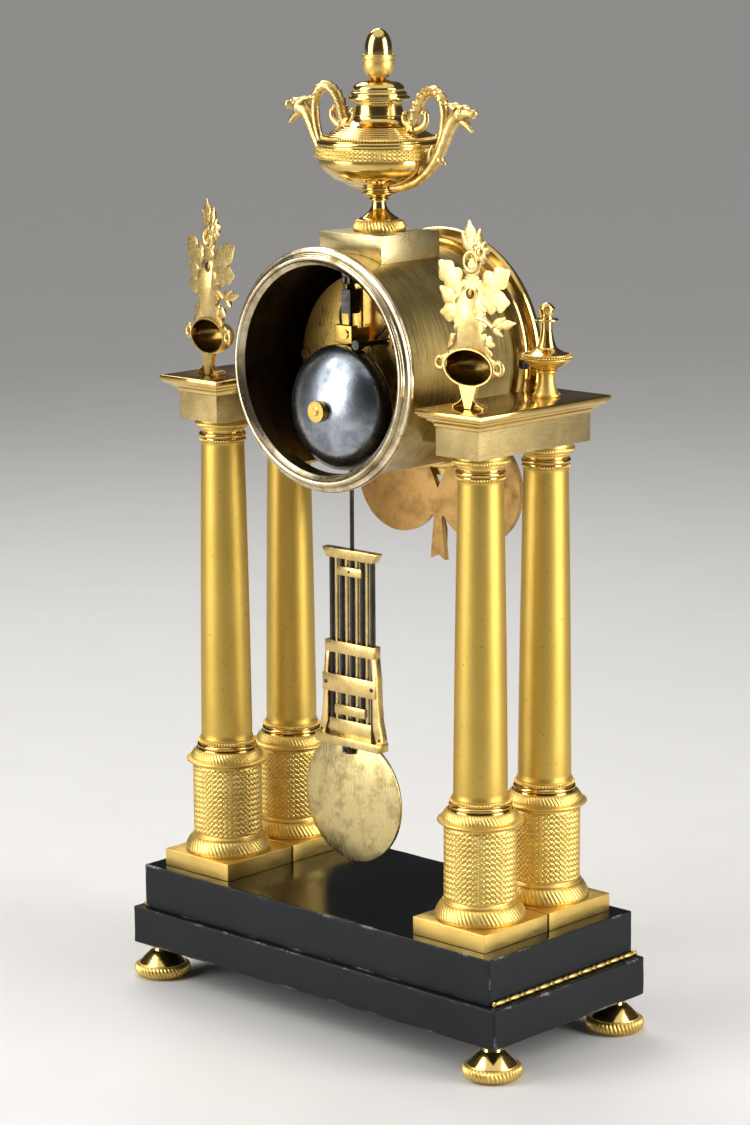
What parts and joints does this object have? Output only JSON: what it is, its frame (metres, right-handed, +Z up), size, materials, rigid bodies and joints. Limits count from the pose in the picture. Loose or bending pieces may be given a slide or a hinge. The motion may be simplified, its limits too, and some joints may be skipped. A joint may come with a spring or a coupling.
{
  "type": "portico clock",
  "caption": "Mantel clock whose drum hangs between gilt columns on a stepped black marble base, with an urn on top, vases at the back corners, striking movement and gridiron pendulum.",
  "frame": {"origin": "centre of the footprint, on the surface the feet stand on", "axes": "+Z up, dial faces -Y, open back of the drum faces +Y, left is -X as seen from the dial side"},
  "size_m": [0.2622, 0.1232, 0.4993],
  "materials": {
    "black_marble": "black marble, polished on top and honed on the sides, edges worn pale",
    "gilt_bronze": "fire-gilt bronze, engine-turned and burnished",
    "matt_gilt": "satin matt gilding",
    "drum_brass": "brushed brass with scratches and patina",
    "worn_silvered_brass": "spun ring worn to a silvery sheen",
    "movement_brass": "grained brass",
    "pendulum_brass": "pale lacquered brass, scratched",
    "steel": "polished tool steel, dulled",
    "blued_steel": "heat-blued",
    "bell_metal": "blue-grey, satin",
    "enamel": "white vitreous enamel on copper",
    "glass": "clear flat glass"
  },
  "bodies": {
    "case": {"lower_plinth": "black_marble", "upper_slab": "black_marble", "base_moulding": "gilt_bronze", "feet": "gilt_bronze", "column_plinths": "gilt_bronze", "column_pedestals": "gilt_bronze", "front_left_column": "matt_gilt", "front_right_column": "matt_gilt", "back_left_column": "matt_gilt", "back_right_column": "matt_gilt", "column_capitals": "gilt_bronze", "column_tie_rods": "steel", "left_entablature": "gilt_bronze", "right_entablature": "gilt_bronze", "left_flower_vase": "gilt_bronze", "right_flower_vase": "gilt_bronze", "front_finials": "gilt_bronze", "drum_case": "drum_brass", "back_bezel": "worn_silvered_brass", "front_bezel": "gilt_bronze", "garland_mount": "gilt_bronze", "drum_brackets": "drum_brass", "screws_and_pins": "steel", "urn_block": "drum_brass", "urn_foot": "gilt_bronze", "urn_body": "gilt_bronze", "urn_cover": "gilt_bronze", "acorn_finial": "gilt_bronze", "left_urn_handle": "gilt_bronze", "right_urn_handle": "gilt_bronze", "dial": "enamel", "front_plate": "movement_brass", "back_plate": "movement_brass", "plate_pillars": "movement_brass", "bell": "bell_metal", "bell_stand": "movement_brass", "suspension": "steel", "mainsprings": "steel"},
    "bezel_door": {"bezel_door": "gilt_bronze", "door_glass": "glass"},
    "centre_arbor": {"centre_wheel": "movement_brass", "minute_hand": "blued_steel"},
    "hour_hand": {"hour_hand": "blued_steel"},
    "minute_wheel": {"minute_wheel": "movement_brass"},
    "going_second_wheel": {"going_second_wheel": "movement_brass"},
    "going_barrel": {"going_barrel": "movement_brass"},
    "third_wheel": {"third_wheel": "movement_brass"},
    "escape_wheel": {"escape_wheel": "movement_brass"},
    "anchor": {"anchor_and_crutch": "movement_brass"},
    "pendulum": {"pendulum_rod": "steel", "gridiron_rods": "steel", "gridiron_frame": "pendulum_brass", "pendulum_bob": "pendulum_brass"},
    "count_wheel": {"count_wheel": "movement_brass"},
    "strike_barrel": {"strike_barrel": "movement_brass"},
    "pin_wheel": {"pin_wheel": "movement_brass"},
    "fly": {"fly": "movement_brass"},
    "hammer": {"hammer": "steel"},
    "going_winding_arbor": {"going_winding_arbor": "steel"},
    "strike_winding_arbor": {"strike_winding_arbor": "steel"}
  },
  "joints": [
    {"name": "door_hinge", "type": "hinge", "parent": "case", "child": "bezel_door", "pos_m": [0.0651, -0.0525, 0.3346], "axis": [0, 0, 1], "range_deg": [0, 110]},
    {"name": "minute_hand_turn", "type": "hinge", "parent": "case", "child": "centre_arbor", "pos_m": [0, 0, 0.3346], "axis": [0, 1, 0], "continuous": true},
    {"name": "hour_hand_turn", "type": "hinge", "parent": "case", "child": "hour_hand", "pos_m": [0, 0, 0.3346], "axis": [0, 1, 0], "continuous": true},
    {"name": "minute_wheel_turn", "type": "hinge", "parent": "case", "child": "minute_wheel", "pos_m": [0, 0, 0.349], "axis": [0, 1, 0], "continuous": true},
    {"name": "second_wheel_turn", "type": "hinge", "parent": "case", "child": "going_second_wheel", "pos_m": [0.01421, 0, 0.34706], "axis": [0, 1, 0], "continuous": true},
    {"name": "going_barrel_turn", "type": "hinge", "parent": "case", "child": "going_barrel", "pos_m": [0.0212, 0, 0.3246], "axis": [0, 1, 0], "continuous": true},
    {"name": "third_wheel_turn", "type": "hinge", "parent": "case", "child": "third_wheel", "pos_m": [-0.01163, 0, 0.34834], "axis": [0, 1, 0], "continuous": true},
    {"name": "escape_wheel_turn", "type": "hinge", "parent": "case", "child": "escape_wheel", "pos_m": [0, 0, 0.3591], "axis": [0, 1, 0], "continuous": true},
    {"name": "pendulum_swing", "type": "hinge", "parent": "case", "child": "pendulum", "pos_m": [0, 0, 0.3746], "axis": [0, 1, 0], "range_deg": [-4.5, 4.5]},
    {"name": "anchor_rock", "type": "hinge", "parent": "case", "child": "anchor", "pos_m": [0, 0, 0.3746], "axis": [0, 1, 0], "range_deg": [-4.5, 4.5]},
    {"name": "count_wheel_turn", "type": "hinge", "parent": "case", "child": "count_wheel", "pos_m": [-0.03114, 0, 0.34592], "axis": [0, 1, 0], "continuous": true},
    {"name": "strike_barrel_turn", "type": "hinge", "parent": "case", "child": "strike_barrel", "pos_m": [-0.0212, 0, 0.3246], "axis": [0, 1, 0], "continuous": true},
    {"name": "pin_wheel_turn", "type": "hinge", "parent": "case", "child": "pin_wheel", "pos_m": [-0.02697, 0, 0.35802], "axis": [0, 1, 0], "continuous": true},
    {"name": "fly_turn", "type": "hinge", "parent": "case", "child": "fly", "pos_m": [-0.01931, 0, 0.36339], "axis": [0, 1, 0], "continuous": true},
    {"name": "hammer_lift", "type": "hinge", "parent": "case", "child": "hammer", "pos_m": [-0.038, 0, 0.3516], "axis": [0, -1, 0], "range_deg": [0, 14]},
    {"name": "going_winding", "type": "hinge", "parent": "case", "child": "going_winding_arbor", "pos_m": [0.0212, 0, 0.3246], "axis": [0, 1, 0], "continuous": true},
    {"name": "strike_winding", "type": "hinge", "parent": "case", "child": "strike_winding_arbor", "pos_m": [-0.0212, 0, 0.3246], "axis": [0, 1, 0], "continuous": true}
  ],
  "couplings": [
    {"joint": "hour_hand_turn", "follows": "minute_hand_turn", "ratio": 0.083333},
    {"joint": "minute_wheel_turn", "follows": "minute_hand_turn", "ratio": -0.33333},
    {"joint": "second_wheel_turn", "follows": "minute_hand_turn", "ratio": -0.16667},
    {"joint": "going_barrel_turn", "follows": "minute_hand_turn", "ratio": 0.027778},
    {"joint": "third_wheel_turn", "follows": "minute_hand_turn", "ratio": -9},
    {"joint": "escape_wheel_turn", "follows": "minute_hand_turn", "ratio": 90},
    {"joint": "anchor_rock", "follows": "pendulum_swing", "ratio": 1},
    {"joint": "strike_barrel_turn", "follows": "count_wheel_turn", "ratio": -0.16667},
    {"joint": "pin_wheel_turn", "follows": "count_wheel_turn", "ratio": -9},
    {"joint": "fly_turn", "follows": "count_wheel_turn", "ratio": 72}
  ]
}
